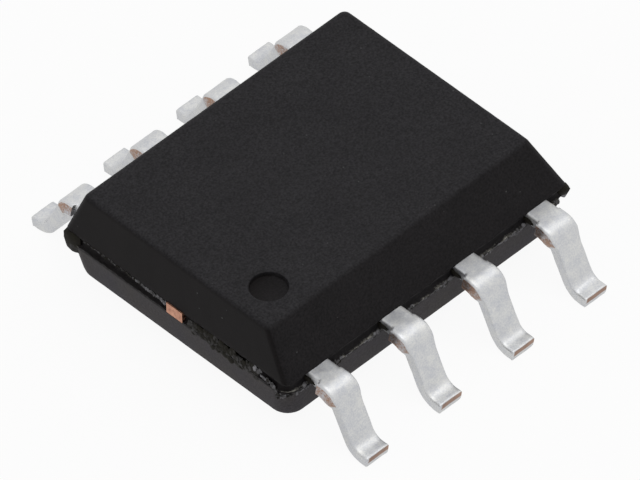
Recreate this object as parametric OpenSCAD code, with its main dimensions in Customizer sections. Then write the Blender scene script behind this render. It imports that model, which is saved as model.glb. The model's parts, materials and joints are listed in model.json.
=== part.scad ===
// Eight-lead small-outline package: a moulded body round a leadframe, a die and its bond wires.
// Frame: X runs along the body from lead 1 to lead 4, Y runs across it towards leads 5 to 8,
// Z is up, and the origin lies on the seating plane under the middle of the package.

/* [Leads] */
// Distance between neighbouring leads on one side
lead_pitch = 1.27; // [1.15:0.01:1.32]
// Span over the toes of opposite leads
lead_span = 6.0; // [5.9:0.05:6.6]
// Thickness of the leadframe sheet
lead_t = 0.17; // [0.12:0.01:0.2]
// Width of a lead in its leg and foot
lead_w = 0.385; // [0.36:0.005:0.45]
// Width of a lead where it leaves the body
neck_w = 0.365; // [0.28:0.005:0.38]
// Height of the flat top of the leads above the seating plane
lead_top = 0.95; // [0.85:0.01:1.05]
// Lean of the leg away from upright, in degrees
leg_lean = 25.5; // [15:0.5:30]
// Length of the foot, from the corner of the heel to the toe
foot_len = 0.265; // [0.24:0.005:0.34]
// Inside radius of the bend at the shoulder
shoulder_r = 0.07; // [0.04:0.01:0.1]
// Inside radius of the bend at the heel
heel_r = 0.17; // [0.1:0.01:0.2]
// Radius of the rolled upper edge of the toe
toe_r = 0.04; // [0.01:0.01:0.08]

/* [Dambar stubs] */
// Distance from the body to the stubs that the cut dambar leaves
stub_gap = 0.17; // [0.12:0.01:0.22]
// Length of a stub, measured along the lead
stub_len = 0.24; // [0.16:0.01:0.28]
// Projection of the stub on a lead's left side, where the punch cut wide
stub_left = 0.08; // [0.02:0.01:0.12]
// Projection of the stub on a lead's right side
stub_right = 0.03; // [0.01:0.01:0.12]

/* [Body] */
// Length of the body at the leads
body_l = 4.9; // [4.7:0.05:5.3]
// Width of the body at the leads
body_w = 3.94; // [3.7:0.02:4.06]
// Height of the top face above the seating plane
body_top = 1.69; // [1.5:0.01:1.85]
// Clearance between the underside and the seating plane
stand_off = 0.24; // [0.1:0.01:0.3]
// Slope of the upper half's side over leads 1 to 4, in degrees from upright
near_slope = 26.5; // [5:0.5:30]
// Slope of the upper half's side over leads 5 to 8
far_slope = 23; // [5:0.5:30]
// Slope of the upper half's end beside leads 1 and 8, where the resin is gated
gate_slope = 5; // [3:0.5:25]
// Slope of the upper half's other end
end_slope = 23; // [3:0.5:25]
// Slope of all four sides of the lower half
lower_slope = 9.5; // [3:0.5:15]
// Radius of the upright corners of the upper half
upper_corner_r = 0.09; // [0.07:0.01:0.15]
// Radius of the upright corners of the lower half
lower_corner_r = 0.25; // [0.15:0.01:0.35]
// Radius of the edges round the top face
top_edge_r = 0.05; // [0.02:0.01:0.06]

/* [Moulding marks] */
// Diameter of the dimple that marks lead 1
dimple_d = 0.5; // [0.3:0.05:0.6]
// Depth of the dimple
dimple_depth = 0.07; // [0.03:0.01:0.12]
// Distance of the dimple's centre from two edges of the top face
dimple_inset = 0.515; // [0.45:0.005:0.7]
// Projection of the flash on the end away from the gate
flash_out = 0.04; // [0.01:0.01:0.06]
// Length of the ledge that broke out beside the tie bar
ledge_l = 1.45; // [1:0.05:1.6]
// Depth of the broken ledge
ledge_depth = 0.08; // [0.03:0.01:0.12]
// Length of the scar where the moulding gate broke off
gate_l = 1.06; // [0.8:0.02:1.3]
// Height of the gate scar
gate_h = 0.27; // [0.2:0.01:0.32]
// Distance from the tie bar to the gate scar
gate_gap = 0.15; // [0.1:0.01:0.3]
// Projection of the gate scar from the end of the body
gate_out = 0.03; // [0.01:0.01:0.05]

/* [Die pad] */
// Length of the die pad
pad_l = 2.5; // [2.2:0.1:2.7]
// Width of the die pad
pad_w = 2.0; // [1.7:0.05:2.1]
// Drop of the die pad below the leads
pad_drop = 0.2; // [0.1:0.01:0.22]
// Width of the tie bars that carry the pad
tie_w = 0.28; // [0.2:0.01:0.35]
// Projection of a trimmed tie bar from the end of the body
tie_out = 0.015; // [0:0.005:0.03]
// Flat stretch of a tie bar between the pad and its step
tie_flat = 0.1; // [0.05:0.01:0.2]

/* [Lead fingers in the resin] */
// Gap between the die pad and the tips of the leads
tip_gap = 0.2; // [0.12:0.01:0.25]
// Width of the widened tip that anchors leads 2, 3, 6 and 7
anchor_w = 0.68; // [0.5:0.01:0.75]
// Length of that tip
anchor_len = 0.28; // [0.2:0.01:0.35]
// Length of the tab that leads 1, 4, 5 and 8 reach in beside the pad
tab_len = 0.4; // [0.3:0.01:0.5]
// Distance from the corner of the pad back to the tip of that tab
tab_back = 0.35; // [0.2:0.01:0.5]

/* [Die] */
// Length of the silicon die
die_l = 1.3; // [1.1:0.05:1.6]
// Width of the silicon die
die_w = 1.1; // [0.8:0.05:1.3]
// Thickness of the silicon die
die_t = 0.25; // [0.15:0.01:0.3]
// Thickness of the adhesive under the die
attach_t = 0.03; // [0.02:0.005:0.05]
// Margin of adhesive that shows round the die
attach_margin = 0.06; // [0.03:0.01:0.1]

/* [Bond wires] */
// Diameter of a bond wire
wire_d = 0.03; // [0.02:0.005:0.04]
// Height of a wire's loop above the straight line between its ends
loop_h = 0.16; // [0.1:0.01:0.25]
// Diameter of the ball at the die end of a wire
ball_d = 0.08; // [0.06:0.005:0.1]
// Height of the ball
ball_h = 0.03; // [0.02:0.005:0.04]
// Distance between neighbouring bond pads on the die
bond_pitch = 0.3; // [0.2:0.01:0.32]
// Distance of the bond pads from the die's long edges
bond_inset = 0.12; // [0.08:0.01:0.2]
// Diameter of the flat stitch at the lead end of a wire
stitch_d = 0.07; // [0.05:0.005:0.1]
// Distance of the stitch from the tip of its lead
stitch_inset = 0.12; // [0.08:0.01:0.15]

/* [Hidden] */

side_leads = 4;
all_leads = 2 * side_leads;
bend_steps = 8;
corner_fn = 24;
edge_steps = 3;
wire_sides = 6;
wire_rings = 12;
skin = 0.01;

// Heights of the leadframe and of the stack on the die pad
lead_low = lead_top - lead_t;
pad_top = lead_top - pad_drop;
pad_low = lead_low - pad_drop;
die_low = pad_top + attach_t;
die_top = die_low + die_t;

// Outlines of the body, each as its range along X and its range along Y
body_x = body_l / 2;
body_y = body_w / 2;
upper_h = body_top - lead_top;
lower_in = (lead_low - stand_off) * tan(lower_slope);
waist_range = [[-body_x, body_x], [-body_y, body_y]];
flash_range = [[-body_x, body_x + flash_out], [-body_y, body_y]];
top_range = [[-body_x + upper_h * tan(gate_slope), body_x - upper_h * tan(end_slope)],
             [-body_y + upper_h * tan(near_slope), body_y - upper_h * tan(far_slope)]];
under_range = [[-body_x + lower_in, body_x - lower_in], [-body_y + lower_in, body_y - lower_in]];

// Side view of a lead: distance from the middle of the package against height
stub_y = body_y + stub_gap;
toe_y = lead_span / 2;
heel_y = toe_y - foot_len;
shoulder_y = heel_y - lead_low * tan(leg_lean);
half_turn = (90 - leg_lean) / 2;
shoulder_centre = [shoulder_y - (shoulder_r + lead_t / 2) * tan(half_turn), lead_low - shoulder_r];
heel_centre = [heel_y + (heel_r + lead_t / 2) * tan(half_turn), lead_t + heel_r];

// Tips of the lead fingers round the die pad
tip_y = pad_w / 2 + tip_gap;
tab_x = pad_l / 2 + tip_gap;
tab_y = pad_w / 2 - tab_back;

function lead_x(pin) = (pin - (side_leads + 1) / 2) * lead_pitch;
function is_far(pin) = pin > side_leads;
function near_pin(pin) = is_far(pin) ? all_leads + 1 - pin : pin;
function is_corner(pin) = pin == 1 || pin == side_leads;

// Leads 5 to 8 and their wires are the mirror image of leads 4 to 1
module on_side(pin) {
    mirror([0, is_far(pin) ? 1 : 0, 0]) children();
}

module lead(pin) {
    color("gainsboro")
        on_side(pin) {
            lead_finger(near_pin(pin));
            gull_wing(lead_x(near_pin(pin)));
        }
}

// Flat stretch of a lead from its tip in the resin to the dambar stubs
module lead_finger(pin) {
    x = lead_x(pin);
    side = sign(x);
    translate([0, 0, lead_low])
        linear_extrude(height = lead_t)
        if (is_corner(pin)) {
            rectangle([x - neck_w / 2, x + neck_w / 2], [-stub_y, -tab_y]);
            rectangle([side * tab_x, x + side * neck_w / 2], [-tab_y - tab_len, -tab_y]);
        } else {
            rectangle([x - neck_w / 2, x + neck_w / 2], [-stub_y, -tip_y]);
            rectangle([x - anchor_w / 2, x + anchor_w / 2], [-tip_y - anchor_len, -tip_y]);
        }
}

module rectangle(x_range, y_range) {
    translate([min(x_range), min(y_range)])
        square([max(x_range) - min(x_range), max(y_range) - min(y_range)]);
}

// Bent stretch of a lead outside the body, with the stubs beside its shoulder
module gull_wing(x) {
    side_extrude([x - lead_w / 2, x + lead_w / 2]) wing_profile();
    side_extrude([x - lead_w / 2 - stub_left, x + lead_w / 2 + stub_right])
        intersection() {
            wing_profile();
            rectangle([stub_y, stub_y + stub_len], [0, lead_top]);
        }
}

// Extrudes a side view of the near leads along X
module side_extrude(x_range) {
    translate([x_range[1], 0, 0])
        rotate([90, 0, -90])
        linear_extrude(height = x_range[1] - x_range[0])
        children();
}

module wing_profile() {
    polygon(concat(
        [[stub_y, lead_top]],
        arc(shoulder_centre, shoulder_r + lead_t, 90, leg_lean),
        arc(heel_centre, heel_r, 180 + leg_lean, 270),
        arc([toe_y - toe_r, lead_t - toe_r], toe_r, 90, 0),
        [[toe_y, 0]],
        arc(heel_centre, heel_r + lead_t, 270, 180 + leg_lean),
        arc(shoulder_centre, shoulder_r, leg_lean, 90),
        [[stub_y, lead_low]]));
}

function arc(centre, r, from_a, to_a) =
    [for (k = [0:bend_steps])
        let (a = from_a + (to_a - from_a) * k / bend_steps)
        centre + r * [cos(a), sin(a)]];

// Pad that carries the die, with a stepped tie bar to each end of the body
module die_pad() {
    color("peru") {
        translate([-pad_l / 2, -pad_w / 2, pad_low]) cube([pad_l, pad_w, lead_t]);
        for (side = [0, 1]) mirror([side, 0, 0]) tie_bar();
    }
}

module tie_bar() {
    pad_x = pad_l / 2;
    step_x = pad_x + tie_flat;
    end_x = body_x + tie_out;
    translate([0, tie_w / 2, 0])
        rotate([90, 0, 0])
        linear_extrude(height = tie_w)
        polygon([[pad_x, pad_low], [step_x, pad_low], [step_x + pad_drop, lead_low], [end_x, lead_low],
                 [end_x, lead_top], [step_x + pad_drop, lead_top], [step_x, pad_top], [pad_x, pad_top]]);
}

module die_attach() {
    color("dimgray")
        translate([-die_l / 2 - attach_margin, -die_w / 2 - attach_margin, pad_top])
        cube([die_l + 2 * attach_margin, die_w + 2 * attach_margin, attach_t]);
}

module die() {
    color("slategray")
        translate([-die_l / 2, -die_w / 2, die_low])
        cube([die_l, die_w, die_t]);
}

// Bond wire: a ball on the die, a loop that peaks near it and a flat stitch on the lead
module bond_wire(pin) {
    ball = ball_place(near_pin(pin));
    stitch = stitch_place(near_pin(pin));
    color("gold")
        on_side(pin) {
            translate(ball) cylinder(d = ball_d, h = ball_h, $fn = corner_fn);
            translate(stitch) cylinder(d = stitch_d, h = wire_d / 2, $fn = corner_fn);
            wire_loop(ball + [0, 0, ball_h / 2], stitch + [0, 0, wire_d / 2]);
        }
}

function ball_place(pin) =
    [(pin - (side_leads + 1) / 2) * bond_pitch, -die_w / 2 + bond_inset, die_top];

function stitch_place(pin) =
    is_corner(pin) ? [sign(lead_x(pin)) * (tab_x + stitch_inset), -tab_y - tab_len / 2, lead_top]
                   : [lead_x(pin), -tip_y - stitch_inset, lead_top];

// Point of a loop at a share of its way from one end to the other
function loop_point(from, to, share) =
    from + (to - from) * share + [0, 0, loop_h * sin(180 * pow(share, 0.6))];

// Sweeps a ring of the wire's section along its loop
module wire_loop(from, to) {
    across = cross([0, 0, 1], to - from) / norm([to[0] - from[0], to[1] - from[1]]);
    path = [for (k = [0:wire_rings]) loop_point(from, to, k / wire_rings)];
    rings = [for (k = [0:wire_rings])
        let (step = path[min(k + 1, wire_rings)] - path[max(k - 1, 0)],
             up = cross(step, across) / norm(step))
        for (s = [0:wire_sides - 1])
            let (a = 360 * s / wire_sides)
            path[k] + wire_d / 2 * (cos(a) * across + sin(a) * up)];
    near_end = [for (s = [0:wire_sides - 1]) s];
    far_end = [for (s = [wire_sides - 1:-1:0]) wire_rings * wire_sides + s];
    walls = [for (k = [0:wire_rings - 1], s = [0:wire_sides - 1])
        let (a = k * wire_sides + s,
             b = k * wire_sides + (s + 1) % wire_sides)
        [a, a + wire_sides, b + wire_sides, b]];
    polyhedron(points = rings, faces = concat([near_end, far_end], walls));
}

// Moulded body: two drafted halves that meet at the leadframe, with what they enclose cut out
module mold_body() {
    color([0.14, 0.14, 0.15])
        difference() {
            union() {
                upper_half();
                parting_band();
                lower_half();
                gate_scar();
            }
            dimple();
            broken_ledge();
            for (pin = [1:all_leads]) {
                lead(pin);
                bond_wire(pin);
            }
            die_pad();
            die_attach();
            die();
        }
}

// Puts a slice with round corners on a rectangle; inset draws its outline in without moving centres
module slice(outline, low, high, corner_r, inset = 0) {
    for (x = [outline[0][0] + corner_r, outline[0][1] - corner_r],
         y = [outline[1][0] + corner_r, outline[1][1] - corner_r])
        translate([x, y, low])
            cylinder(r = corner_r - inset, h = high - low, $fn = corner_fn);
}

module upper_half() {
    hull() {
        slice(waist_range, lead_top, lead_top + skin, upper_corner_r);
        for (k = [0:edge_steps]) {
            a = 90 * k / edge_steps;
            high = body_top - top_edge_r * (1 - sin(a));
            slice(top_range, high - skin / 2, high, upper_corner_r, top_edge_r * (1 - cos(a)));
        }
    }
}

module parting_band() {
    hull() slice(flash_range, lead_low, lead_top, upper_corner_r);
}

module lower_half() {
    hull() {
        slice(waist_range, lead_low - skin, lead_low, lower_corner_r);
        slice(under_range, stand_off, stand_off + skin, lower_corner_r);
    }
}

module dimple() {
    translate([top_range[0][0] + dimple_inset, top_range[1][0] + dimple_inset, body_top - dimple_depth])
        cylinder(d = dimple_d, h = 2 * dimple_depth, $fn = 2 * corner_fn);
}

// Resin broken out beside the tie bar when the package was cut from its frame
module broken_ledge() {
    translate([-body_x - ledge_depth, tie_w / 2, lead_low])
        cube([2 * ledge_depth, ledge_l, lead_t]);
}

module gate_scar() {
    translate([-body_x - gate_out, -tie_w / 2 - gate_gap - gate_l, (lead_low + lead_top - gate_h) / 2])
        cube([gate_out + upper_corner_r, gate_l, gate_h]);
}

mold_body();
die_pad();
die_attach();
die();
for (pin = [1:all_leads]) {
    lead(pin);
    bond_wire(pin);
}
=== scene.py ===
# %% [markdown]
# # A moulded chip package, dressed for a studio picture
#
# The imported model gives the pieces, their places and their sizes in metres. This lesson adds what a
# camera would see on the real thing: the soft edges and the flash of the moulded resin, the tin and
# the bare copper of the leads, and a plain white table under soft light.

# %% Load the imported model
import json
import math
import random

import bmesh
import bpy
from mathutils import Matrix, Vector, noise

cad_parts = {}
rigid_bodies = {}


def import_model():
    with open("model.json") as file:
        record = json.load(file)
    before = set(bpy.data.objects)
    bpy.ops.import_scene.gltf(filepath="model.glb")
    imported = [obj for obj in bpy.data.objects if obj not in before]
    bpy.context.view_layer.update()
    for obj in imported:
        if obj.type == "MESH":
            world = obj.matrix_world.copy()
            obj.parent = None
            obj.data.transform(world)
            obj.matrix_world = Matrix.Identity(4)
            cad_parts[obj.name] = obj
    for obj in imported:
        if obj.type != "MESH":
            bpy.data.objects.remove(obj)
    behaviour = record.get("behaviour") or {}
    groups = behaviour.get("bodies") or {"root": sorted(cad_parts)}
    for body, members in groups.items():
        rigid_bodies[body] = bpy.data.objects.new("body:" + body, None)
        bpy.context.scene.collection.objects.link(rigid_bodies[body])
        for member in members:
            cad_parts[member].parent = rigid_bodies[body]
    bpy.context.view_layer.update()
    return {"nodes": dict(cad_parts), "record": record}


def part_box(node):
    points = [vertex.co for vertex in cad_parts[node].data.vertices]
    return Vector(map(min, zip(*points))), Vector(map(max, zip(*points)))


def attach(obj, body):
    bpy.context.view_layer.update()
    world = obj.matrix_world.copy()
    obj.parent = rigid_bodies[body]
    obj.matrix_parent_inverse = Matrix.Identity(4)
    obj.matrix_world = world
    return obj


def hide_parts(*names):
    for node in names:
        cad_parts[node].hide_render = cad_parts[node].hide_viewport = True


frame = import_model()
mm = 0.001
resin_low, resin_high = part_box("mold_body")
print("nodes:", len(frame["nodes"]))
print("resin box in mm:", [round(v / mm, 3) for v in (*resin_low, *resin_high)])

# %% [markdown]
# ## The camera
#
# A small part is best seen from far away through a long lens, which keeps its parallel edges
# parallel. The camera stands a quarter of a metre off, beyond lead 1, and looks down on the top face.

# %% Place the camera
view_azimuth = math.radians(-43.43)
view_elevation = math.radians(46.13)
view_roll = math.radians(-1.56)
view_distance = 251 * mm
aim = Vector((-0.128, -0.188, 0.564)) * mm
sensor_width = 36
picture_width = 7.952 * mm


def direction(azimuth, elevation):
    """Unit vector away from the package; azimuth 0 is the side of leads 1 to 4."""
    return Vector((math.sin(azimuth) * math.cos(elevation), -math.cos(azimuth) * math.cos(elevation),
                   math.sin(elevation)))


towards_camera = direction(view_azimuth, view_elevation)
lens = bpy.data.cameras.new("Long_lens")
lens.sensor_width = sensor_width
lens.lens = sensor_width * view_distance / picture_width
lens.clip_start = 10 * mm
lens.clip_end = 10
camera = bpy.data.objects.new("Camera", lens)
bpy.context.scene.collection.objects.link(camera)
camera.location = aim + view_distance * towards_camera
camera.rotation_euler = towards_camera.to_track_quat("Z", "Y").to_euler()
camera.rotation_euler.rotate_axis("Z", view_roll)
bpy.context.scene.camera = camera
print("lens in mm:", round(lens.lens))

# %% [markdown]
# ## Colour and nodes
#
# Colours are written as the hex values that a screen shows, and the renderer wants them linear, so
# one function turns them. A second one adds a shader node with its settings and its links.

# %% Helpers for materials
def linear(hex_colour):
    """Linear RGBA of an sRGB colour such as '#c8c8c8'."""
    values = [int(hex_colour[k:k + 2], 16) / 255 for k in (1, 3, 5)]
    return (*[v / 12.92 if v <= 0.04045 else ((v + 0.055) / 1.055) ** 2.4 for v in values], 1)


def add(tree, kind, links=None, inputs=None, **settings):
    """Adds a node, sets its properties and inputs, and links sources into its inputs."""
    node = tree.nodes.new(kind)
    for name, value in settings.items():
        setattr(node, name, value)
    for name, value in (inputs or {}).items():
        node.inputs[name].default_value = value
    for name, source in (links or {}).items():
        tree.links.new(source, node.inputs[name])
    return node


def new_material(name):
    """An empty material and its node tree, with the output node in place."""
    material = bpy.data.materials.new(name)
    material.use_nodes = True
    material.node_tree.nodes.clear()
    return material, material.node_tree

# %% Pattern scales
def per_metre(size):
    """Noise scale at which a pattern repeats about once in a size given in metres."""
    return 1 / size

# %% [markdown]
# ## The table and the light
#
# The package lies on white card under a white tent. The card stays white behind the package because
# it glows a little for the camera and for reflections, while the rest of it still takes the shadow.

# %% Make the table
card_size = 3.0
card_glow = 0.93
half = card_size / 2
card_mesh = bpy.data.meshes.new("Card")
card_mesh.from_pydata([(-half, -half, 0), (half, -half, 0), (half, half, 0), (-half, half, 0)],
                      [], [(0, 1, 2, 3)])
card = bpy.data.objects.new("Card", card_mesh)
bpy.context.scene.collection.objects.link(card)


def seen_directly(tree):
    """1 where the camera, a reflection or clear glass looks, and 0 for the rays that only light."""
    rays = add(tree, "ShaderNodeLightPath")
    seen = add(tree, "ShaderNodeMath", {0: rays.outputs["Is Camera Ray"], 1: rays.outputs["Is Glossy Ray"]},
               operation="ADD", use_clamp=True)
    seen = add(tree, "ShaderNodeMath", {0: seen.outputs[0], 1: rays.outputs["Is Transmission Ray"]},
               operation="ADD", use_clamp=True)
    return seen.outputs[0]


card_material, tree = new_material("White_card")
share = add(tree, "ShaderNodeMath", {0: seen_directly(tree)}, {1: card_glow}, operation="MULTIPLY")
paper = add(tree, "ShaderNodeBsdfPrincipled", inputs={"Base Color": linear("#f4f4f4"), "Roughness": 0.9})
glow = add(tree, "ShaderNodeEmission", inputs={"Color": (1, 1, 1, 1), "Strength": 1.0})
mixed = add(tree, "ShaderNodeMixShader", {0: share.outputs[0], 1: paper.outputs[0], 2: glow.outputs[0]})
add(tree, "ShaderNodeOutputMaterial", {"Surface": mixed.outputs[0]})
card_mesh.materials.append(card_material)

# %% Light the scene
tent_light = 0.5
world = bpy.data.worlds.new("Tent")
world.use_nodes = True
tree = world.node_tree
tree.nodes.clear()
tent = add(tree, "ShaderNodeBackground", inputs={"Color": (1, 1, 1, 1), "Strength": tent_light})
white = add(tree, "ShaderNodeBackground", inputs={"Color": (1, 1, 1, 1), "Strength": 1.0})
mixed = add(tree, "ShaderNodeMixShader", {0: seen_directly(tree), 1: tent.outputs[0], 2: white.outputs[0]})
add(tree, "ShaderNodeOutputWorld", {"Surface": mixed.outputs[0]})
bpy.context.scene.world = world


def soft_lamp(name, azimuth, elevation, distance, size, brightness, colour):
    """A square lamp that looks at the package; brightness is what its face would render as."""
    lamp = bpy.data.lights.new(name, "AREA")
    lamp.shape = "SQUARE"
    lamp.size = size
    lamp.energy = brightness * math.pi * size ** 2
    lamp.color = linear(colour)[:3]
    towards = direction(azimuth, elevation)
    held = bpy.data.objects.new(name, lamp)
    held.location = distance * towards
    held.rotation_euler = towards.to_track_quat("Z", "Y").to_euler()
    bpy.context.scene.collection.objects.link(held)


soft_lamp("Overhead", 0, math.radians(84), 120 * mm, 80 * mm, 1.5, "#ffffff")
soft_lamp("Front", math.radians(52), math.radians(54), 120 * mm, 26 * mm, 2.6, "#fffdf6")
bpy.context.scene.view_settings.view_transform = "Standard"

# %% [markdown]
# ## Building meshes
#
# Both the resin and the leads are made as stacks of rings. One function joins rings of equally many
# points into a skin, a second turns points and faces into an object that rides on the part, and a
# third writes numbers on its points for the material to read.

# %% Helpers for meshes
crease_angle = 32


def ring_faces(rings, points):
    """Quads between neighbouring rings, for a stack of rings of equally many points."""
    return [(k * points + p, k * points + (p + 1) % points,
             (k + 1) * points + (p + 1) % points, (k + 1) * points + p)
            for k in range(rings - 1) for p in range(points)]


def make_piece(name, points, faces, material, smooth_angle=crease_angle):
    """A mesh object in the package's frame, with its normals outwards and its edges sharp past an angle."""
    mesh = bpy.data.meshes.new(name)
    mesh.from_pydata([tuple(p) for p in points], [], faces)
    work = bmesh.new()
    work.from_mesh(mesh)
    bmesh.ops.recalc_face_normals(work, faces=work.faces)
    work.to_mesh(mesh)
    work.free()
    piece = bpy.data.objects.new(name, mesh)
    bpy.context.scene.collection.objects.link(piece)
    mesh.materials.append(material)
    mesh.shade_smooth()
    mesh.set_sharp_from_angle(angle=math.radians(smooth_angle))
    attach(piece, "root")
    return piece


def mark(piece, name, values):
    """Writes a number on each point of a piece."""
    piece.data.attributes.new(name, "FLOAT", "POINT").data.foreach_set("value", values)

# %% [markdown]
# ## Black moulding resin
#
# Moulding compound is epoxy packed with ground silica and coloured with carbon black. It comes out of
# a spark-eroded steel mould, so its skin is dull and very finely pitted, and here and there a grain of
# filler shows as a pale speck. Where the skin broke, it is grey and rough.

# %% Make the resin material
pit_size = 0.028 * mm
blotch_size = 0.5 * mm
speck_spacing = 0.16 * mm

resin_material, tree = new_material("Black_epoxy_moulded")
place = add(tree, "ShaderNodeTexCoord").outputs["Object"]
pits = add(tree, "ShaderNodeTexNoise", {"Vector": place}, {"Scale": per_metre(pit_size), "Detail": 3.0})
blotches = add(tree, "ShaderNodeTexNoise", {"Vector": place},
               {"Scale": per_metre(blotch_size), "Detail": 4.0})
# Painted light: the skin is painted lighter and cooler on the top, partly so on the long sides and darkest on
# the ends, as light from above and its sheen on the top would make it.
painted_top_light = add(tree, "ShaderNodeAttribute", attribute_name="painted_top_light")
lower = add(tree, "ShaderNodeAttribute", attribute_name="lower")
painted_shade_tone = add(tree, "ShaderNodeMix", {"Factor": blotches.outputs["Fac"]},
               {"A": linear("#110f0f"), "B": linear("#1b1819")}, data_type="RGBA")
painted_light_tone = add(tree, "ShaderNodeMix", {"Factor": blotches.outputs["Fac"]},
           {"A": linear("#262527"), "B": linear("#302f31")}, data_type="RGBA")
tone = add(tree, "ShaderNodeMix", {"Factor": painted_top_light.outputs["Fac"], "A": painted_shade_tone.outputs["Result"],
                                   "B": painted_light_tone.outputs["Result"]}, data_type="RGBA")
# Painted light: the lower half is painted a lighter grey for the light it catches from the white table below
# it.
table_lit_tone = add(tree, "ShaderNodeMix", {"Factor": blotches.outputs["Fac"]},
               {"A": linear("#3a3840"), "B": linear("#45413d")}, data_type="RGBA")
tone = add(tree, "ShaderNodeMix", {"Factor": lower.outputs["Fac"], "A": tone.outputs["Result"],
                                   "B": table_lit_tone.outputs["Result"]}, data_type="RGBA")
specks = add(tree, "ShaderNodeTexVoronoi", {"Vector": place},
             {"Scale": per_metre(speck_spacing), "Randomness": 1.0}, feature="F1")
speck_mask = add(tree, "ShaderNodeMapRange", {"Value": specks.outputs["Distance"]},
                 {"From Min": 0.05, "From Max": 0.085, "To Min": 1.0, "To Max": 0.0})
rare = add(tree, "ShaderNodeMath", {0: blotches.outputs["Fac"]}, {1: 0.56}, operation="GREATER_THAN")
speck_share = add(tree, "ShaderNodeMath", {0: speck_mask.outputs[0], 1: rare.outputs[0]},
                  operation="MULTIPLY")
speckled = add(tree, "ShaderNodeMix", {"Factor": speck_share.outputs[0], "A": tone.outputs["Result"]},
               {"B": linear("#4a4a4b")}, data_type="RGBA")
broken = add(tree, "ShaderNodeAttribute", attribute_name="broken")
broken_edge = add(tree, "ShaderNodeMath", {0: broken.outputs["Fac"], 1: pits.outputs["Fac"]},
                  operation="MULTIPLY")
broken_mask = add(tree, "ShaderNodeMapRange", {"Value": broken_edge.outputs[0]},
                  {"From Min": 0.12, "From Max": 0.55})
skin = add(tree, "ShaderNodeMix", {"Factor": broken_mask.outputs[0], "A": speckled.outputs["Result"]},
           {"B": linear("#8b8982")}, data_type="RGBA")
grainy = add(tree, "ShaderNodeMapRange", {"Value": pits.outputs["Fac"]},
             {"From Min": 0.3, "From Max": 0.7, "To Min": 0.5, "To Max": 1.5})
shade = add(tree, "ShaderNodeVectorMath", {0: skin.outputs["Result"], "Scale": grainy.outputs[0]},
            operation="SCALE")
dull = add(tree, "ShaderNodeMapRange", {"Value": pits.outputs["Fac"]},
           {"From Min": 0.3, "From Max": 0.7, "To Min": 0.5, "To Max": 0.66})
bumps = add(tree, "ShaderNodeBump", {"Height": pits.outputs["Fac"]},
            {"Strength": 0.35, "Distance": 0.004 * mm})
shader = add(tree, "ShaderNodeBsdfPrincipled",
             {"Base Color": shade.outputs[0], "Roughness": dull.outputs[0], "Normal": bumps.outputs[0]},
             {"IOR": 1.5, "Specular IOR Level": 0.08})
add(tree, "ShaderNodeOutputMaterial", {"Surface": shader.outputs[0]})

# %% [markdown]
# ## Tin over copper
#
# The leads are stamped from copper alloy sheet and plated with matte tin before the frame is cut up.
# Tin is a soft pale grey metal. The cuts at the dambar stubs and at the toes came later, so there the
# brown copper shows. A value on each point of the mesh says how bare it is.

# %% Make the lead material
grain_size = 0.02 * mm
ripple_size = 0.14 * mm

lead_material, tree = new_material("Copper_alloy_tin_plated")
place = add(tree, "ShaderNodeTexCoord").outputs["Object"]
grain = add(tree, "ShaderNodeTexNoise", {"Vector": place}, {"Scale": per_metre(grain_size), "Detail": 2.0})
ripple = add(tree, "ShaderNodeTexNoise", {"Vector": place}, {"Scale": per_metre(ripple_size), "Detail": 3.0})
mottle = add(tree, "ShaderNodeMath", {0: ripple.outputs["Fac"], 1: grain.outputs["Fac"]}, {2: -0.5},
             operation="ADD")
mottle = add(tree, "ShaderNodeMapRange", {"Value": mottle.outputs[0]}, {"From Min": 0.7, "From Max": 1.3})
tin = add(tree, "ShaderNodeMix", {"Factor": mottle.outputs[0]},
          {"A": linear("#bbbdc2"), "B": linear("#d6d6d4")}, data_type="RGBA")
copper = add(tree, "ShaderNodeMix", {"Factor": ripple.outputs["Fac"]},
             {"A": linear("#5c4036"), "B": linear("#c0a08c")}, data_type="RGBA")
bare = add(tree, "ShaderNodeAttribute", attribute_name="bare")
ragged = add(tree, "ShaderNodeMath", {0: grain.outputs["Fac"], 1: ripple.outputs["Fac"]}, operation="ADD")
bare_edge = add(tree, "ShaderNodeMath", {0: bare.outputs["Fac"], 1: ragged.outputs[0]}, operation="MULTIPLY")
bare_mask = add(tree, "ShaderNodeMapRange", {"Value": bare_edge.outputs[0]},
                {"From Min": 0.38, "From Max": 0.62})
metal = add(tree, "ShaderNodeMix",
            {"Factor": bare_mask.outputs[0], "A": tin.outputs["Result"], "B": copper.outputs["Result"]},
            data_type="RGBA")
satin = add(tree, "ShaderNodeMapRange", {"Value": ripple.outputs["Fac"]},
            {"From Min": 0.3, "From Max": 0.7, "To Min": 0.4, "To Max": 0.54})
relief = add(tree, "ShaderNodeBump", {"Height": ripple.outputs["Fac"]},
             {"Strength": 0.35, "Distance": 0.006 * mm})
shader = add(tree, "ShaderNodeBsdfPrincipled",
             {"Base Color": metal.outputs["Result"], "Roughness": satin.outputs[0],
              "Normal": relief.outputs[0]},
             {"Metallic": 1.0})
add(tree, "ShaderNodeOutputMaterial", {"Surface": shader.outputs[0]})

# %% [markdown]
# ## The moulded body
#
# The mould has two halves that close on the leadframe. The upper half leaves sloping sides and almost
# sharp corners, the lower half a shallower tub with steeper sides and round corners, and the strip
# between them is where resin was broken away with the frame. Each level of the body is a rounded rectangle, and
# the body is the stack of those levels.

# %% Sizes of the body
lead_top = 0.95 * mm
lead_t = 0.17 * mm
lead_low = lead_top - lead_t
body_x = 2.45 * mm
body_y = (resin_high.y - resin_low.y) / 2
body_low, body_top = resin_low.z, resin_high.z
flash_x = resin_high.x
near_slope = math.radians(26.5)
far_slope = math.radians(22.3)
gate_slope = math.radians(5)
end_slope = math.radians(21.6)
lower_slope = math.radians(9.5)
upper_corner_r = 0.09 * mm
lower_corner_r = 0.25 * mm
print("body at the leads in mm:", round(2 * body_x / mm, 2), "by", round(2 * body_y / mm, 2))

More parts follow.
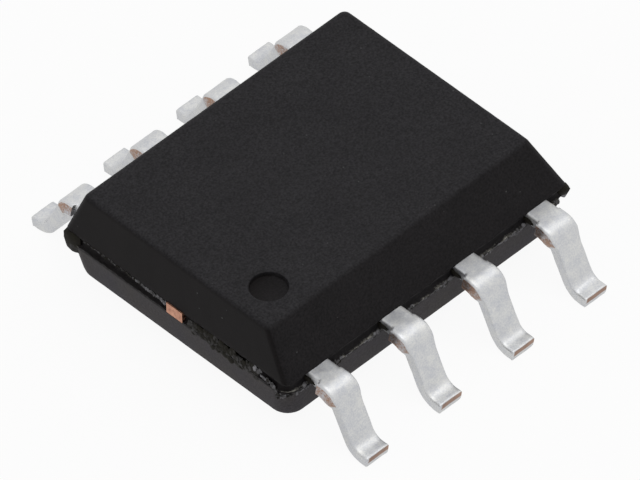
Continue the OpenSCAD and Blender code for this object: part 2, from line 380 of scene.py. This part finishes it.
# %% Outlines of the body
column_step = 0.025 * mm
corner_steps = 8
long_steps = round(2 * body_x / column_step)
cross_steps = round(2 * body_y / column_step)


def rounded_outline(ranges, radius):
    """Points of a rectangle with round corners, anticlockwise, equally many for every size."""
    (x0, x1), (y0, y1) = ranges
    centres = [(x1 - radius, y0 + radius), (x1 - radius, y1 - radius),
               (x0 + radius, y1 - radius), (x0 + radius, y0 + radius)]
    corners = [[Vector((x + radius * math.cos(a), y + radius * math.sin(a)))
                for a in (math.pi / 2 * (k - 1 + s / corner_steps) for s in range(corner_steps + 1))]
               for k, (x, y) in enumerate(centres)]
    points = []
    for k, corner in enumerate(corners):
        steps = cross_steps if k % 2 == 0 else long_steps
        following = corners[(k + 1) % 4][0]
        points += corner + [corner[-1].lerp(following, s / steps) for s in range(1, steps)]
    return points


def upper_ranges(z):
    """Range along X and along Y of the upper half at a height."""
    rise = z - lead_top
    return ((-body_x + rise * math.tan(gate_slope), body_x - rise * math.tan(end_slope)),
            (-body_y + rise * math.tan(near_slope), body_y - rise * math.tan(far_slope)))


def lower_ranges(z):
    """Range along X and along Y of the lower half at a height."""
    inset = (lead_low - z) * math.tan(lower_slope)
    return (-body_x + inset, body_x - inset), (-body_y + inset, body_y - inset)


def shrink(ranges, inset):
    """Both ranges drawn in by a distance."""
    return tuple((low + inset, high - inset) for low, high in ranges)

# %% Levels of the body, from the underside up
foot_edge_r = 0.03 * mm
top_edge_r = 0.05 * mm
edge_angles = [math.radians(a) for a in (0, 22.5, 45, 67.5, 90)]
strip_r = 0.12 * mm
strip_ranges = ((-body_x, flash_x), (-body_y, body_y))
side_top = body_top - top_edge_r
lower_shares = (0.15, 0.4, 0.65, 0.8, 0.86, 0.89, 0.92, 0.95, 0.98)
upper_shares = (0.04, 0.1, 0.3, 0.5, 0.7, 0.85, 0.95)
# How far each level rises above a height and draws in from an outline, in mm
lip_steps = ((-0.004, -0.004), (0.006, -0.006), (0.014, 0.0))
strip_steps = ((0.022, 0.02), (0.04, 0.038), (0.075, 0.045), (0.11, 0.04), (0.14, 0.028))
seam_steps = ((-0.012, 0.008), (-0.002, 0.002), (0.008, 0.002))
flat_margin = 0.02 * mm


def stepped(base, ranges, steps, radius):
    """Levels at steps above a height, each drawn in from an outline."""
    return [(base + rise * mm, shrink(ranges, inset * mm), radius) for rise, inset in steps]


levels = []
for a in edge_angles:
    z = body_low + foot_edge_r * (1 - math.cos(a))
    levels.append((z, shrink(lower_ranges(body_low), foot_edge_r * (1 - math.sin(a))), lower_corner_r))
for part in lower_shares:
    z = body_low + part * (lead_low - body_low)
    levels.append((z, lower_ranges(z), lower_corner_r))
levels += stepped(lead_low, lower_ranges(lead_low), lip_steps, lower_corner_r)
levels += stepped(lead_low, strip_ranges, strip_steps, strip_r)
levels += stepped(lead_top, upper_ranges(lead_top), seam_steps, upper_corner_r)
for part in upper_shares:
    z = lead_top + part * (side_top - lead_top)
    levels.append((z, upper_ranges(z), upper_corner_r))
for a in edge_angles:
    z = side_top + top_edge_r * math.sin(a)
    levels.append((z, shrink(upper_ranges(z), top_edge_r * (1 - math.cos(a))), upper_corner_r))
levels.append((body_top, shrink(upper_ranges(body_top), top_edge_r + flat_margin), upper_corner_r))
print("levels:", len(levels))

# %% [markdown]
# The lip where the two mould halves met is ragged, because resin flashed out between them and was
# knocked off. Noise moves the points of those levels, and along the long sides more noise marks
# patches of them as broken. The vectors of Blender's noise start from the clock unless they get a
# seed, so they get one here, and the part comes out the same each time.

# %% Roughen the parting line
noise.seed_set(11)
strip_low = lead_low - 0.02 * mm
strip_high = lead_top + 0.004 * mm


def unevenness(point, size, seed):
    """Smooth noise from -1 to 1 that changes over a size."""
    return noise.noise(point / size + Vector((seed, 0, 0)))


def roughened(point):
    """A point of the body's skin, moved if it lies on the strip between the mould halves."""
    if not strip_low < point.z < strip_high:
        edge = 0.0015 * mm * unevenness(point, 0.12 * mm, 5)
        return point + Vector((edge, edge, 0))
    outwards = Vector((point.x / body_x, point.y / body_y, 0))
    outwards = Vector((0, outwards.y, 0)) if abs(outwards.y) > abs(outwards.x) else Vector((outwards.x, 0, 0))
    push = 0.008 * unevenness(point, 0.09 * mm, 1) + 0.006 * unevenness(point, 0.035 * mm, 2)
    lift = 0.006 * unevenness(point, 0.05 * mm, 3)
    return point + outwards.normalized() * push * mm + Vector((0, 0, lift * mm))


def brokenness(point):
    """How broken the skin is at a point, from 0 to 1."""
    if abs(point.y) < body_y - lower_corner_r:
        return 0
    lip = max(0, 1 - abs(point.z - lead_low - 0.006 * mm) / (0.022 * mm))
    patches = 0.5 + 0.9 * unevenness(point, 0.11 * mm, 7) + 0.5 * unevenness(point, 0.04 * mm, 8)
    return max(0, min(1, lip * patches * 1.4))


def top_light_share(point):
    """How much painted light the skin gets: 1 on the top, a third on the long sides and 0 on the ends, which
    are left darkest as painted shade.
    """
    (x0, x1), (y0, y1) = upper_ranges(point.z)
    from_end = min(point.x - x0, x1 - point.x)
    from_side = min(point.y - y0, y1 - point.y)
    sides = max(0, min(1, (from_end - from_side) / (0.03 * mm))) / 3
    return max(sides, min(1, (point.z - body_top + top_edge_r) / top_edge_r))


def table_light_share(point):
    """1 on the lower half, painted lighter for the light it catches from the white table, and 0 from just below
    the parting line upwards, left dark as painted shade under the ledge.
    """
    edge = lead_low - 0.045 * mm + 0.014 * mm * unevenness(point, 0.08 * mm, 9)
    return max(0, min(1, (edge - point.z) / (0.012 * mm)))

# %% Build the body
skin_points = [roughened(Vector((p.x, p.y, z))) for z, ranges, radius in levels
               for p in rounded_outline(ranges, radius)]
points_per_level = len(skin_points) // len(levels)
skin_faces = ring_faces(len(levels), points_per_level)
skin_faces.append(tuple(range(points_per_level)))

# %% The dimple by lead 1
dimple_r = 0.25 * mm
dimple_inset = 0.515 * mm
dimple_steps = 72
dimple_x = upper_ranges(body_top)[0][0] + dimple_inset
dimple_y = upper_ranges(body_top)[1][0] + dimple_inset
# How far each ring reaches out from the dimple's edge and how deep it lies, in mm
dimple_profile = ((0.03, 0), (0.012, 0), (0.005, 0.002), (0.001, 0.007), (-0.004, 0.056), (-0.009, 0.066),
                  (-0.02, 0.07))
dimple_start = len(skin_points)
for outwards, depth in dimple_profile:
    r = dimple_r + outwards * mm
    skin_points += [Vector((dimple_x + r * math.cos(a), dimple_y + r * math.sin(a), body_top - depth * mm))
                    for a in (math.tau * s / dimple_steps for s in range(dimple_steps))]
dimple_faces = ring_faces(len(dimple_profile), dimple_steps)
skin_faces += [tuple(dimple_start + i for i in face) for face in dimple_faces]
skin_faces.append(tuple(range(len(skin_points) - dimple_steps, len(skin_points))))


def fill_top(mesh, outer_start, outer_count, inner_start, inner_count):
    """Fills the flat ring between the top level and the dimple."""
    work = bmesh.new()
    work.from_mesh(mesh)
    work.verts.ensure_lookup_table()
    loops = []
    for start, count in ((outer_start, outer_count), (inner_start, inner_count)):
        ring = [work.verts[start + k] for k in range(count)]
        loops += [work.edges.get((ring[k], ring[(k + 1) % count])) for k in range(count)]
    bmesh.ops.triangle_fill(work, use_beauty=True, edges=loops)
    bmesh.ops.recalc_face_normals(work, faces=work.faces)
    work.to_mesh(mesh)
    work.free()

# %% Close the body and mark its skin
body = make_piece("Moulded_body", skin_points, skin_faces, resin_material)
fill_top(body.data, (len(levels) - 1) * points_per_level, points_per_level, dimple_start, dimple_steps)
body.data.shade_smooth()
body.data.set_sharp_from_angle(angle=math.radians(crease_angle))
# The second and third marks carry painted light: the top lighter than the sides and ends, and the lower half
# lighter for the table it faces; the first is real broken skin.
for attribute, measure in (("broken", brokenness), ("painted_top_light", top_light_share), ("lower", table_light_share)):
    mark(body, attribute, [measure(vertex.co) for vertex in body.data.vertices])
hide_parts("mold_body")
print("body:", len(body.data.vertices), "points")

# %% [markdown]
# ## The leads
#
# A lead is a flat strip that is bent twice. Its middle line is drawn in side view, and a section with
# soft corners is swept along it: narrow where it leaves the resin, wider at the stub of the dambar,
# then the width of the leg. The far row is the near row mirrored.

# %% Sizes of the leads
lead_w = 0.385 * mm
neck_w = 0.365 * mm
leg_lean = math.radians(25.5)
foot_len = 0.265 * mm
shoulder_r = 0.07 * mm
heel_r = 0.17 * mm
toe_tilt = 0.026 * mm
section_r = 0.036 * mm
anchor_len = 0.28 * mm
tab_len = 0.4 * mm
finger_step = 0.012 * mm
widest_stub = lead_w / 2 + 0.09 * mm
bend_steps = 12

toe_y = -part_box("lead_1")[0].y
heel_y = toe_y - foot_len
shoulder_y = heel_y - lead_low * math.tan(leg_lean)
half_turn = (math.pi / 2 - leg_lean) / 2
shoulder_centre = Vector((shoulder_y - (shoulder_r + lead_t / 2) * math.tan(half_turn),
                          lead_low - shoulder_r))
heel_centre = Vector((heel_y + (heel_r + lead_t / 2) * math.tan(half_turn), lead_t + heel_r))
sole = toe_y - heel_centre.x
print("flat sole in mm:", round(sole / mm, 3))

# %% The middle line of a lead in side view
flat_steps = (-0.05, 0, 0.06, 0.12, 0.17, 0.195, 0.21, 0.24, 0.27)
leg_shares = (0.04, 0.1, 0.2, 0.35, 0.5, 0.65, 0.8, 0.92)
sole_shares = (0.75, 0.5, 0.3, 0.15, 0.05, 0.0)
toe_drops = (0, 0, 0, 0.001, 0.004, 0.01)


def bend_line(centre, radius, start, end):
    """Points of an arc in side view with the directions away from its centre."""
    angles = [start + (end - start) * k / bend_steps for k in range(bend_steps + 1)]
    directions = [Vector((math.cos(a), math.sin(a))) for a in angles]
    return [(centre + radius * d, d) for d in directions]


def middle_line():
    """Middle points of the strip and the normals of its upper side, from the resin to the toe."""
    up = Vector((0, 1))
    flat = [(Vector((body_y + step * mm, lead_top - lead_t / 2)), up) for step in flat_steps]
    shoulder = bend_line(shoulder_centre, shoulder_r + lead_t / 2, math.pi / 2, leg_lean)
    heel = [(p, -d) for p,
            d in bend_line(heel_centre, heel_r + lead_t / 2, math.pi + leg_lean, 1.5 * math.pi)]
    leg = [(shoulder[-1][0].lerp(heel[0][0], share), shoulder[-1][1]) for share in leg_shares]
    foot = [(Vector((toe_y - share * sole, lead_t / 2)), up) for share in sole_shares]
    return flat + shoulder + leg + heel + foot

# %% [markdown]
# The dambar held all the leads of a row together until a punch cut it away. What is left of it makes
# the lead wider for a short way. The punch pulled the cut's lower edge outwards, so the left side of
# the stub leans. A table gives how far the strip reaches to each side at a distance from the resin.

# %% How wide a lead is along its line
# Distance from the resin, reach to the left and to the right, and flare of the left side
widths = ((-1.0, neck_w / 2, neck_w / 2, 0),
          (0.195 * mm, neck_w / 2, neck_w / 2, 0),
          (0.208 * mm, lead_w / 2 + 0.035 * mm, lead_w / 2 + 0.008 * mm, 0.04 * mm),
          (0.36 * mm, lead_w / 2 + 0.035 * mm, lead_w / 2 + 0.02 * mm, 0.045 * mm),
          (0.47 * mm, lead_w / 2 + 0.025 * mm, lead_w / 2 + 0.03 * mm, 0.045 * mm),
          (0.53 * mm, lead_w / 2 + 0.01 * mm, lead_w / 2 + 0.025 * mm, 0.03 * mm),
          (0.57 * mm, lead_w / 2, lead_w / 2 + 0.015 * mm, 0.0),
          (0.68 * mm, lead_w / 2, lead_w / 2, 0),
          (9.0, lead_w / 2, lead_w / 2, 0))


def width_at(distance):
    """Reach to the left and to the right and the flare of the left side, at a distance from the resin."""
    for before, after in zip(widths, widths[1:]):
        if distance <= after[0]:
            share = (distance - before[0]) / (after[0] - before[0])
            return [a + share * (b - a) for a, b in zip(before[1:], after[1:])]


def lead_stations(node, centre_x):
    """Sections along a lead: middle point, normal, left and right reach, flare, toe drop and tilt."""
    low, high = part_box(node)
    tip_y = min(abs(low.y), abs(high.y))
    reach = [r if r > widest_stub else neck_w / 2 for r in (centre_x - low.x, high.x - centre_x)]
    finger_len = anchor_len if min(reach) > widest_stub else tab_len
    inner = [tip_y, tip_y + finger_len, tip_y + finger_len + finger_step]
    height = lead_top - lead_t / 2
    stations = [(Vector((y, height)), Vector((0, 1)), *ends, 0, 0, 0)
                for y, ends in zip(inner, (reach, reach, (neck_w / 2, neck_w / 2)))]
    line = middle_line()
    distance = line[0][0].x - body_y
    before = line[0][0]
    for k, (point, normal) in enumerate(line):
        distance += (point - before).length
        before = point
        foot_k = k - (len(line) - len(sole_shares))
        drop = toe_drops[foot_k] * mm if foot_k >= 0 else 0
        tilt = toe_tilt * (1 - sole_shares[foot_k]) if foot_k >= 0 else 0
        stations.append((point, normal, *width_at(distance), drop, tilt))
    return stations

# %% The section of a lead
across_shares = (0, 0.012, 0.035, 0.075, 0.16, 0.27, 0.385, 0.5, 0.615, 0.73, 0.84, 0.925, 0.965, 0.988, 1)
height_shares = (0, 0.06, 0.165, 0.33, 0.46, 0.58, 0.7, 0.835, 0.94, 1)


def section_point(across, height, left, right, flare):
    """Point of the section's grid, with its corners rounded and its lower edge flared to the left."""
    x = -left + across * (left + right)
    h = height * lead_t
    centre = Vector((min(max(x, section_r - left), right - section_r),
                     min(max(h, section_r), lead_t - section_r)))
    away = Vector((x, h)) - centre
    if abs(away.x) > 0 and abs(away.y) > 0 and (across in (0, 1) or height in (0, 1)):
        x, h = centre + section_r * away.normalized()
    if across < 0.1:
        x -= flare * (1 - height)
    return x, h


last_i, last_j = len(across_shares) - 1, len(height_shares) - 1
rim = ([(i, 0) for i in range(last_i + 1)] + [(last_i, j) for j in range(1, last_j + 1)]
       + [(i, last_j) for i in range(last_i - 1, -1, -1)] + [(0, j) for j in range(last_j - 1, 0, -1)])
inside = [(i, j) for i in range(1, last_i) for j in range(1, last_j)]
print("points round a section:", len(rim))

# %% [markdown]
# Real leads are never bent quite alike. Here the far row sits a few hundredths of a millimetre closer
# in, and its toes do not all reach the table. A short list holds those small faults, lead by lead.

# %% How each lead was bent
# How far a lead is pushed in at the shoulder and lifted at the toe, in mm
bends = {"lead_5": (0.012, 0.045), "lead_6": (0.02, 0.02), "lead_7": (0.02, 0.012), "lead_8": (0.045, 0.0)}


def bent(place, faults):
    """A place in side view, moved by a lead's own faults: pushed in at the shoulder, lifted at the toe."""
    inwards, lift = faults
    out = max(0, min(1, (place.x - body_y) / (0.4 * mm)))
    away = max(0, min(1, (place.x - shoulder_y) / (heel_y - shoulder_y)))
    return Vector((place.x - inwards * mm * out, place.y + lift * mm * away))

# %% Points of a lead
def lead_points(stations, indices, node, centre_x, side):
    """Points of the section's grid places on each station."""
    points = []
    for point, normal, left, right, flare, drop, tilt in stations:
        for i, j in indices:
            x, h = section_point(across_shares[i], height_shares[j], left, right, flare)
            h *= 1 - drop / lead_t
            place = point + (h - lead_t / 2) * normal
            place.x -= tilt * (1 - height_shares[j])
            place = bent(place, bends.get(node, (0, 0)))
            spot = Vector((centre_x + x, side * place.x, place.y))
            wander = noise.noise_vector(spot / (0.16 * mm)) * 0.004 * mm
            wander += noise.noise_vector(spot / (0.06 * mm)) * 0.0015 * mm
            wander.z = max(wander.z, -spot.z)
            points.append(spot + wander)
    return points

# %% How bare of tin a lead is
bare_line = 1.0
bare_cut = 0.57
bare_rim = 0.3
bare_face = 0.1


def bareness(index, station, is_toe):
    """How bare of tin a point is: on the cut sides of the stub and in a line across the toe."""
    i, j = index
    across, height = across_shares[i], height_shares[j]
    if is_toe and 0.45 < height < 0.99 and across > 0.12:
        return bare_line
    if is_toe:
        return bare_rim if across < 0.2 or height == 1 else bare_face
    on_cut = station[4] > 0.02 * mm and height < 0.9
    return bare_cut if on_cut and i in (0, last_i) else 0.0

# %% Build the leads
def make_lead(node, centre_x, side):
    """The detailed mesh that stands for one lead."""
    stations = lead_stations(node, centre_x)
    count = len(rim)
    points = lead_points(stations, rim, node, centre_x, side)
    faces = ring_faces(len(stations), count)
    values = [bareness(index, station, False) for station in stations for index in rim]
    for end, station in ((0, stations[0]), (len(stations) - 1, stations[-1])):
        place = {index: end * count + k for k, index in enumerate(rim)}
        for index in rim:
            if end:
                values[place[index]] = bareness(index, station, True)
        for index in inside:
            place[index] = len(points)
            points += lead_points([station], [index], node, centre_x, side)
            values.append(bareness(index, station, True) if end else 0.0)
        faces += [(place[i, j], place[i + 1, j], place[i + 1, j + 1], place[i, j + 1])
                  for i in range(last_i) for j in range(last_j)]
    lead = make_piece(f"Tinned_{node}", points, faces, lead_material, smooth_angle=50)
    mark(lead, "bare", values)
    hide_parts(node)
    return lead


feet = {m["name"]: m["pos_m"] for m in frame["record"]["mounts"]}
for number in range(1, len(feet) + 1):
    x, y, z = feet[f"foot_{number}"]
    lead = make_lead(f"lead_{number}", x, math.copysign(1, y))
print("lead:", len(lead.data.vertices), "points")

# %% [markdown]
# ## Crumbs and flash
#
# Where the mould halves closed, thin resin squeezed out and was knocked off again. It leaves grey
# crumbs along the parting line, skins in the notches beside the leads, and a torn ledge at the end
# where the gate was. Each crumb is a small lump whose points are pushed in and out by noise, and the
# crumbs of one place are one piece.

# %% Make the torn resin material
torn_size = 0.05 * mm

torn_material, tree = new_material("Black_epoxy_torn")
place = add(tree, "ShaderNodeTexCoord").outputs["Object"]
clods = add(tree, "ShaderNodeTexNoise", {"Vector": place}, {"Scale": per_metre(torn_size), "Detail": 4.0})
pale = add(tree, "ShaderNodeAttribute", attribute_name="broken")
dark = add(tree, "ShaderNodeMix", {"Factor": clods.outputs["Fac"]},
           {"A": linear("#12100e"), "B": linear("#292720")}, data_type="RGBA")
torn_share = add(tree, "ShaderNodeMath", {0: pale.outputs["Fac"], 1: clods.outputs["Fac"]},
                 operation="MULTIPLY")
torn_share = add(tree, "ShaderNodeMapRange", {"Value": torn_share.outputs[0]},
                 {"From Min": 0.12, "From Max": 0.6})
torn = add(tree, "ShaderNodeMix", {"Factor": torn_share.outputs[0], "A": dark.outputs["Result"]},
           {"B": linear("#8f8e92")}, data_type="RGBA")
relief = add(tree, "ShaderNodeBump", {"Height": clods.outputs["Fac"]},
             {"Strength": 0.6, "Distance": 0.008 * mm})
shader = add(tree, "ShaderNodeBsdfPrincipled",
             {"Base Color": torn.outputs["Result"], "Normal": relief.outputs[0]},
             {"Roughness": 0.75, "IOR": 1.5, "Specular IOR Level": 0.12})
add(tree, "ShaderNodeOutputMaterial", {"Surface": shader.outputs[0]})

# %% A lump of resin
lump_rings = 7
lump_points = 12
torn_crease = 60
rng = random.Random(11)


def add_lump(points, faces, values, centre, size, seed, value):
    """Adds a closed uneven lump, with its half sizes, to lists of points, faces and broken values."""
    start = len(points)
    for k in range(1, lump_rings):
        polar = math.pi * k / lump_rings
        for p in range(lump_points):
            around = math.tau * (p + 0.5 * (k % 2)) / lump_points
            d = Vector((math.sin(polar) * math.cos(around), math.sin(polar) * math.sin(around),
                        math.cos(polar)))
            swell = 1 + 0.55 * noise.noise(1.1 * d + Vector((seed * 7.1, seed, 0)))
            points.append(centre + Vector(a * b for a, b in zip(size, swell * d)))
    faces += [tuple(start + i for i in face) for face in ring_faces(lump_rings - 1, lump_points)]
    faces.append(tuple(start + p for p in range(lump_points)))
    faces.append(tuple(start + (lump_rings - 2) * lump_points + p for p in range(lump_points)))
    values += [value] * (len(points) - start)


def make_crumbs(name, lumps):
    """One piece from lumps, each a centre and half sizes in mm and how pale it broke."""
    points, faces, values = [], [], []
    for seed, (centre, size, value) in enumerate(lumps):
        add_lump(points, faces, values, Vector(centre) * mm, Vector(size) * mm, seed, value)
    crumbs = make_piece(name, points, faces, torn_material, smooth_angle=torn_crease)
    mark(crumbs, "broken", values)
    print(name, len(lumps), "lumps")


def heap(centre, size, value, count):
    """Lumps of uneven sizes heaped round a centre, so that no single one can be made out."""
    lumps = []
    for k in range(count):
        shift = Vector(rng.uniform(-0.7, 0.7) * s for s in size)
        share = rng.uniform(0.35, 0.75)
        lumps.append((Vector(centre) + shift, [share * s for s in size], value * rng.uniform(0.3, 1.1)))
    return lumps

# %% Crumbs along the long sides
crumb_step = 0.028
crumbs_start, crumbs_length = -2.1, 4.4
parting_z = 0.765
thick_right, thick_left = 0.31, 0.33
lead_centres = [x / mm for x in sorted({round(m[0], 7) for m in feet.values()})]
side_y = body_y / mm
for side, name in ((-1, "Resin_crumbs_near"), (1, "Resin_crumbs_far")):
    lumps = []
    for step in range(int(crumbs_length / crumb_step)):
        x = crumbs_start + step * crumb_step + rng.uniform(-0.012, 0.012)
        gap = min(abs(x - c) for c in lead_centres) - neck_w / mm / 2
        swell = max(0, 1 - min(abs(x - c - thick_right) for c in lead_centres) / 0.16,
                    1 - min(abs(x - c + thick_left) for c in lead_centres) / 0.12)
        for layer in range(3):
            spread = rng.uniform(-1, 1)
            size = (rng.uniform(0.016, 0.034), 0.008 + 0.01 * swell, rng.uniform(0.008, 0.019) + 0.01 * swell)
            pale = rng.uniform(0.25, 0.95)
            if gap < 0.02 or rng.random() > 0.32 + 0.55 * swell:
                continue
            z = parting_z + (0.012 + 0.026 * swell) * spread
            lumps.append(((x, side * (side_y - 0.002), z), size, pale))
    make_crumbs(name, lumps)

# %% Skins of resin in the notches
left_depth, right_depth = 0.11, 0.05
lumps = []
for c in lead_centres:
    for side in (-1, 1):
        for hand, depth in ((-1, left_depth), (1, right_depth)):
            x = c + hand * (neck_w / mm / 2 + 0.004)
            lumps.append(((x, side * (side_y + 0.02), 0.855), (0.016, depth, 0.045), 0.0))
            lumps.append(((x + hand * 0.05, side * (side_y - 0.005), 0.785), (0.04, 0.022, 0.03), 0.7))
make_crumbs("Resin_skins_in_notches", lumps)

# %% Flash round the corner by lead 1
arc = [(-2.0, -1.966, 0.745), (-2.06, -1.966, 0.725), (-2.183, -1.962, 0.715), (-2.27, -1.94, 0.706),
       (-2.345, -1.895, 0.698), (-2.394, -1.853, 0.69), (-2.416, -1.79, 0.655), (-2.42, -1.75, 0.63)]
lumps = []
for a, b in zip(arc, arc[1:]):
    for share in (0, 0.33, 0.67):
        lumps += heap(Vector(a).lerp(Vector(b), share), (0.035, 0.02, 0.024), 0.8, 3)
lumps += heap((-2.404, -1.83, 0.68), (0.04, 0.03, 0.045), 0.95, 5)
lumps += heap((-2.05, -1.966, 0.77), (0.07, 0.014, 0.035), 0.8, 5)
make_crumbs("Resin_flash_near_corner", lumps)

# %% The torn ledge and the gate at the end of lead 1
end_x = -body_x / mm
ledge_lumps, gate_lumps = 46, 60
# Place along Y, height, half width, half height and paleness of the heaps beyond the gate
gate_edge = ((-1.43, 0.935, 0.045, 0.075, 1.0), (-1.48, 0.87, 0.045, 0.05, 0.8),
             (-1.57, 0.84, 0.06, 0.035, 0.9), (-1.65, 0.832, 0.045, 0.04, 0.7),
             (-1.72, 0.8, 0.045, 0.05, 0.85), (-1.78, 0.74, 0.03, 0.045, 0.6))
lumps = []
for step in range(ledge_lumps):
    y = 0.17 + step * 0.032 + rng.uniform(-0.01, 0.01)
    near_bar = max(0, 1 - (y - 0.15) / 0.7) ** 0.6
    size = (0.012, rng.uniform(0.014, 0.032), rng.uniform(0.006, 0.016) + 0.024 * near_bar)
    spot = (end_x + 0.004, y, 0.945 - 0.04 * near_bar + rng.uniform(-0.016, 0.012))
    lumps.append((spot, size, rng.uniform(0.0, 0.5) + 0.45 * near_bar))
for y, z, wide, tall, value in gate_edge:
    lumps += heap((end_x + 0.006, y, z), (0.014, wide, tall), value, 6)
for step in range(gate_lumps):
    y = -0.27 - step * 0.0195
    size = (0.022, rng.uniform(0.04, 0.08), rng.uniform(0.04, 0.08))
    lumps.append(((end_x + 0.012, y, 0.83 + rng.uniform(-0.09, 0.07)), size, rng.uniform(0.1, 0.4)))
make_crumbs("Resin_torn_end", lumps)

# %% A chip of flash
pale_below = 0.8 * mm


def make_chip(name, corners, value):
    """A broken-off edge of flash: the skin round some corners in mm, cut finer and made uneven."""
    work = bmesh.new()
    for corner in corners:
        work.verts.new(Vector(corner) * mm)
    bmesh.ops.convex_hull(work, input=work.verts)
    bmesh.ops.subdivide_edges(work, edges=work.edges, cuts=3, use_grid_fill=True, smooth=0.25)
    for vertex in work.verts:
        vertex.co += 0.009 * mm * noise.noise_vector(vertex.co / (0.045 * mm))
    bmesh.ops.recalc_face_normals(work, faces=work.faces)
    work.verts.index_update()
    points = [vertex.co.copy() for vertex in work.verts]
    faces = [tuple(vertex.index for vertex in face.verts) for face in work.faces]
    work.free()
    chip = make_piece(name, points, faces, torn_material, smooth_angle=torn_crease)
    mark(chip, "broken", [value if p.z < pale_below else 0.0 for p in points])


make_chip("Resin_flash_right_corner",
          ((2.43, -1.82, 0.94), (2.3, -1.955, 0.94), (2.482, -1.988, 0.86), (2.474, -1.98, 0.835),
           (2.43, -1.8, 0.79), (2.36, -1.95, 0.79), (2.425, -1.925, 0.7), (2.4, -1.8, 0.72)), 0.9)
make_chip("Resin_flash_left_corner",
          ((-2.44, 1.7, 0.94), (-2.25, 1.955, 0.94), (-2.465, 1.965, 0.9), (-2.462, 1.965, 0.76),
           (-2.435, 1.945, 0.62), (-2.41, 1.76, 0.6), (-2.25, 1.94, 0.62), (-2.38, 1.9, 0.56)), 0.3)

# %% [markdown]
# ## What the resin hides
#
# The pad, the die and its wires are inside and only the ends of the pad's tie bars show. They still
# get the finish of the real thing, because somebody may cut the part open.

# %% Make the hidden finishes
def metal_finish(name, dark, light, size, roughness):
    """A metal whose colour and gloss change slowly over a size."""
    material, tree = new_material(name)
    place = add(tree, "ShaderNodeTexCoord").outputs["Object"]
    cloud = add(tree, "ShaderNodeTexNoise", {"Vector": place}, {"Scale": per_metre(size), "Detail": 4.0})
    colour = add(tree, "ShaderNodeMix", {"Factor": cloud.outputs["Fac"]},
                 {"A": linear(dark), "B": linear(light)}, data_type="RGBA")
    gloss = add(tree, "ShaderNodeMapRange", {"Value": cloud.outputs["Fac"]},
                {"From Min": 0.3, "From Max": 0.7, "To Min": roughness, "To Max": roughness + 0.15})
    relief = add(tree, "ShaderNodeBump", {"Height": cloud.outputs["Fac"]},
                 {"Strength": 0.3, "Distance": 0.003 * mm})
    shader = add(tree, "ShaderNodeBsdfPrincipled",
                 {"Base Color": colour.outputs["Result"], "Roughness": gloss.outputs[0],
                  "Normal": relief.outputs[0]}, {"Metallic": 1.0})
    add(tree, "ShaderNodeOutputMaterial", {"Surface": shader.outputs[0]})
    return material


copper_material = metal_finish("Copper_alloy_stamped", "#6e3014", "#e8b498", 0.06 * mm, 0.35)
gold_material = metal_finish("Gold_wire_drawn", "#e8b860", "#ffd98a", 0.03 * mm, 0.18)
silicon_material = metal_finish("Silicon_die_polished", "#3c4658", "#6a7488", 0.2 * mm, 0.12)

adhesive_material, tree = new_material("Silver_filled_epoxy_dispensed")
place = add(tree, "ShaderNodeTexCoord").outputs["Object"]
flakes = add(tree, "ShaderNodeTexVoronoi", {"Vector": place}, {"Scale": per_metre(0.02 * mm)}, feature="F1")
paste = add(tree, "ShaderNodeMix", {"Factor": flakes.outputs["Distance"]},
            {"A": linear("#8f9093"), "B": linear("#b9babc")}, data_type="RGBA")
relief = add(tree, "ShaderNodeBump", {"Height": flakes.outputs["Distance"]},
             {"Strength": 0.4, "Distance": 0.004 * mm})
shader = add(tree, "ShaderNodeBsdfPrincipled",
             {"Base Color": paste.outputs["Result"], "Normal": relief.outputs[0]},
             {"Roughness": 0.45, "Metallic": 0.3})
add(tree, "ShaderNodeOutputMaterial", {"Surface": shader.outputs[0]})

# %% Give the hidden nodes their finish
finished = 0
finishes = {"die_pad": copper_material, "die_attach": adhesive_material, "die": silicon_material}
for node, piece in frame["nodes"].items():
    material = gold_material if node.startswith("bond_wire") else finishes.get(node)
    if material:
        piece.data.materials.clear()
        piece.data.materials.append(material)
        finished += 1
print("nodes with a finish of their own:", finished)
